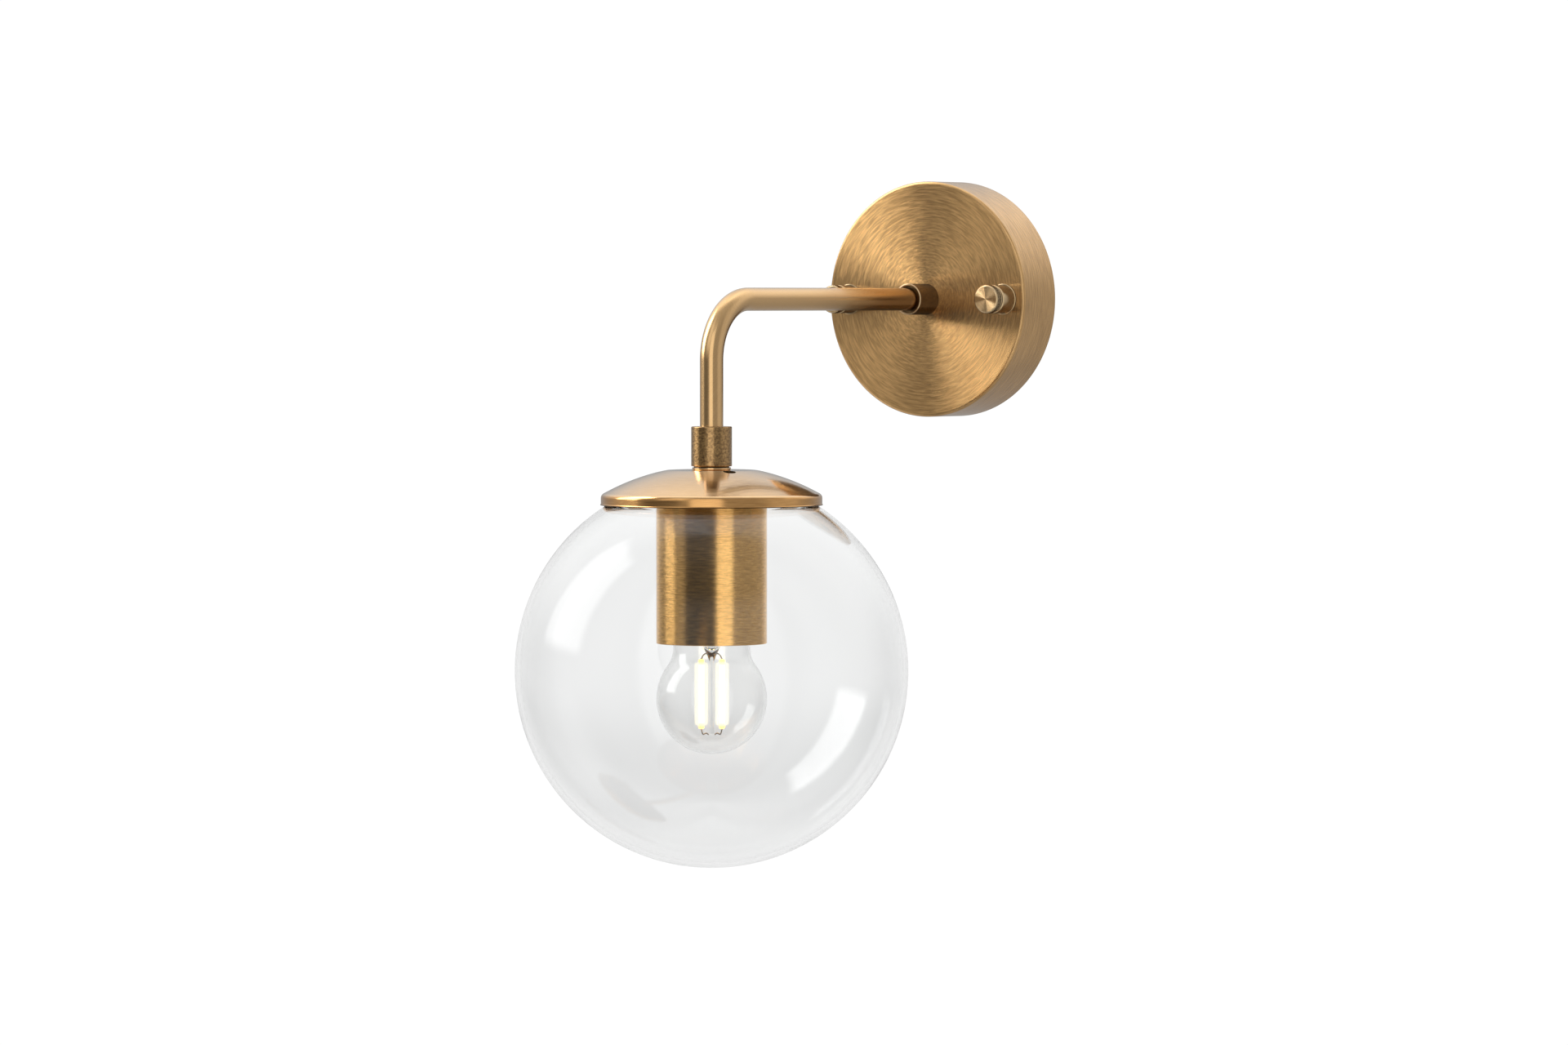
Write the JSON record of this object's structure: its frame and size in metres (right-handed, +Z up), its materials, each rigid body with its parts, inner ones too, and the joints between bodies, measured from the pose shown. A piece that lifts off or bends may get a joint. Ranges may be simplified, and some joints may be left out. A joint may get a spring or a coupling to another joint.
{
  "type": "wall lamp",
  "caption": "Wall lamp with a round brass canopy, a bent arm, a shallow dome cap and a clear glass globe around a screw-in globe bulb.",
  "frame": {"origin": "on the wall plane at the centre of the canopy's back, midway between the two wall-screw slots, at the height of the arm's axis", "axes": "+Z up, -Y out from the wall along the arm, +X to the right for a person facing the wall"},
  "size_m": [0.16, 0.258, 0.2811],
  "materials": {
    "canopy_brass": "spun and brushed satin, lacquered",
    "arm_brass": "smooth satin, lacquered",
    "dome_brass": "spun, near polished, lacquered",
    "sleeve_brass": "fine upright brushing, lacquered",
    "aged_brass": "darker aged satin",
    "turned_brass": "turned and knurled",
    "zinc_steel": "zinc plated",
    "fitting_brass": "bare brass",
    "white_ceramic": "glazed",
    "black_plastic": "moulded, low gloss",
    "white_plastic": "moulded",
    "brown_insulation": "soft insulation",
    "blue_insulation": "soft insulation",
    "earth_insulation": "soft insulation, green and yellow",
    "globe_glass": "clear blown glass",
    "bulb_glass": "clear thin glass",
    "bulb_cap_metal": "nickel plated",
    "bulb_insulator": "dark vitrified insulator",
    "filament": "coated light-giving rod",
    "wire_metal": "drawn wire",
    "driver_board": "circuit board"
  },
  "bodies": {
    "lamp": {"wall_bracket": "zinc_steel", "bracket_studs": "zinc_steel", "stud_lock_nuts": "zinc_steel", "earth_screw": "fitting_brass", "canopy": "canopy_brass", "terminal_block": "white_plastic", "terminal_screws": "fitting_brass", "block_screw": "zinc_steel", "arm_collar": "aged_brass", "arm_nipple": "zinc_steel", "arm_washer": "zinc_steel", "arm_nut": "zinc_steel", "arm_tube": "arm_brass", "coupler": "aged_brass", "drop_nipple": "zinc_steel", "dome_cap": "dome_brass", "globe_spider": "zinc_steel", "cap_nut": "zinc_steel", "lampholder_sleeve": "sleeve_brass", "lampholder_cap": "black_plastic", "lampholder_body": "white_ceramic", "lampholder_clamps": "fitting_brass", "lampholder_screws": "zinc_steel", "centre_contact": "fitting_brass", "lampholder_shell": "fitting_brass", "lampholder_skirt": "black_plastic", "live_lead": "brown_insulation", "neutral_lead": "blue_insulation", "earth_lead": "earth_insulation"},
    "globe": {"globe": "globe_glass"},
    "bulb_carrier": {"bulb_contact": "bulb_cap_metal"},
    "bulb": {"bulb_insulator": "bulb_insulator", "bulb_screw_cap": "bulb_cap_metal", "bulb_glass": "bulb_glass", "bulb_stem": "bulb_glass", "bulb_filaments": "filament", "bulb_support_wires": "wire_metal", "bulb_driver": "driver_board"},
    "thumb_washer_left": {"thumb_washer_left": "turned_brass"},
    "thumb_nut_left": {"thumb_nut_left": "turned_brass"},
    "thumb_washer_right": {"thumb_washer_right": "turned_brass"},
    "thumb_nut_right": {"thumb_nut_right": "turned_brass"}
  },
  "joints": [
    {"name": "globe_slide", "type": "slide", "parent": "lamp", "child": "globe", "axis": [0, 0, -1], "range_m": [0, 0.12]},
    {"name": "bulb_travel", "type": "slide", "parent": "lamp", "child": "bulb_carrier", "axis": [0, 0, -1], "range_m": [0, 0.02]},
    {"name": "bulb_turn", "type": "hinge", "parent": "bulb_carrier", "child": "bulb", "pos_m": [0, -0.178, -0.12], "axis": [0, 0, -1], "range_deg": [0, 1980]},
    {"name": "thumb_nut_left_travel", "type": "slide", "parent": "lamp", "child": "thumb_washer_left", "axis": [0, -1, 0], "range_m": [0, 0.005]},
    {"name": "thumb_nut_left_turn", "type": "hinge", "parent": "thumb_washer_left", "child": "thumb_nut_left", "pos_m": [-0.0395, -0.03, 0], "axis": [0, -1, 0], "range_deg": [0, 2520]},
    {"name": "thumb_nut_right_travel", "type": "slide", "parent": "lamp", "child": "thumb_washer_right", "axis": [0, -1, 0], "range_m": [0, 0.005]},
    {"name": "thumb_nut_right_turn", "type": "hinge", "parent": "thumb_washer_right", "child": "thumb_nut_right", "pos_m": [0.0395, -0.03, 0], "axis": [0, -1, 0], "range_deg": [0, 2520]}
  ],
  "couplings": [
    {"joint": "bulb_travel", "follows": "bulb_turn", "m_per_rad": 0.00057757},
    {"joint": "thumb_nut_left_travel", "follows": "thumb_nut_left_turn", "m_per_rad": 0.00011141},
    {"joint": "thumb_nut_right_travel", "follows": "thumb_nut_right_turn", "m_per_rad": 0.00011141}
  ]
}
